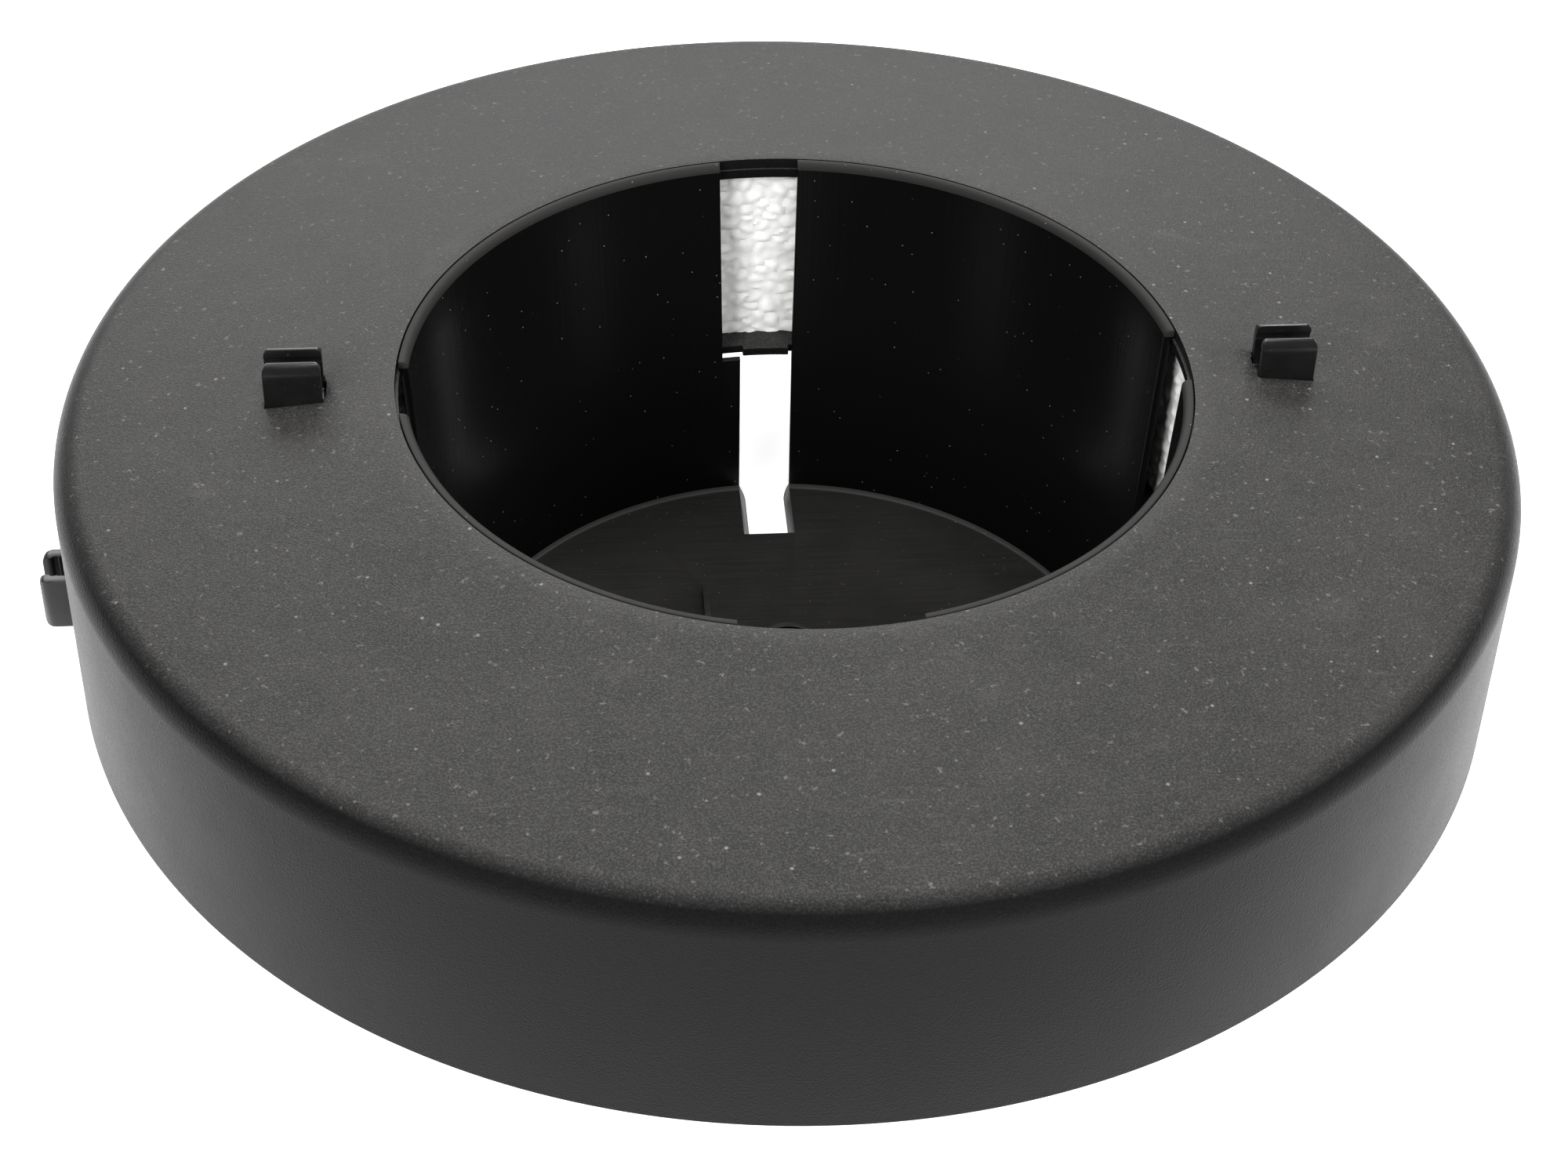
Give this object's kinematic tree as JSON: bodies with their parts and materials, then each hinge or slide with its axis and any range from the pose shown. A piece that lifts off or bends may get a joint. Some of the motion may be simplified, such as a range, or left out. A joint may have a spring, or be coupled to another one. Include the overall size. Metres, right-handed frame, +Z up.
{
  "type": "floating pump basket",
  "caption": "Foam-filled black plastic ring float with a deep slotted basket that drops in from above and locks with a short turn; cable clips on top and side.",
  "frame": {"origin": "centre of the basket's underside, the face that the part stands on", "axes": "+Z up along the axis of the ring and basket; +X through the middle of the cable clips; the wide cable window faces -Y"},
  "size_m": [0.357, 0.34, 0.1097],
  "materials": {
    "shell_plastic": "black moulded plastic with a fine matt grain, dusty on top",
    "basket_plastic": "deep black moulded plastic, smooth, faintly drawn lines down the wall",
    "clip_plastic": "black moulded plastic, smoother than the shell",
    "foam": "white expanded-polystyrene beads fused together",
    "screw_steel": "bright stainless steel"
  },
  "bodies": {
    "float": {"float_cover": "shell_plastic", "float_base": "shell_plastic", "foam_ring": "foam", "base_screws": "screw_steel", "clip_top_left": "clip_plastic", "clip_top_right": "clip_plastic", "clip_side_left": "clip_plastic", "clip_side_right": "clip_plastic"},
    "plug": {"floor_plug": "clip_plastic"},
    "basket": {"basket": "basket_plastic"}
  },
  "joints": [
    {"name": "basket_lift", "type": "slide", "parent": "float", "child": "plug", "axis": [0, 0, 1], "range_m": [0, 0.11]},
    {"name": "basket_turn", "type": "hinge", "parent": "plug", "child": "basket", "pos_m": [0, 0, 0.01], "axis": [0, 0, 1], "range_deg": [-3.2, 0]}
  ]
}
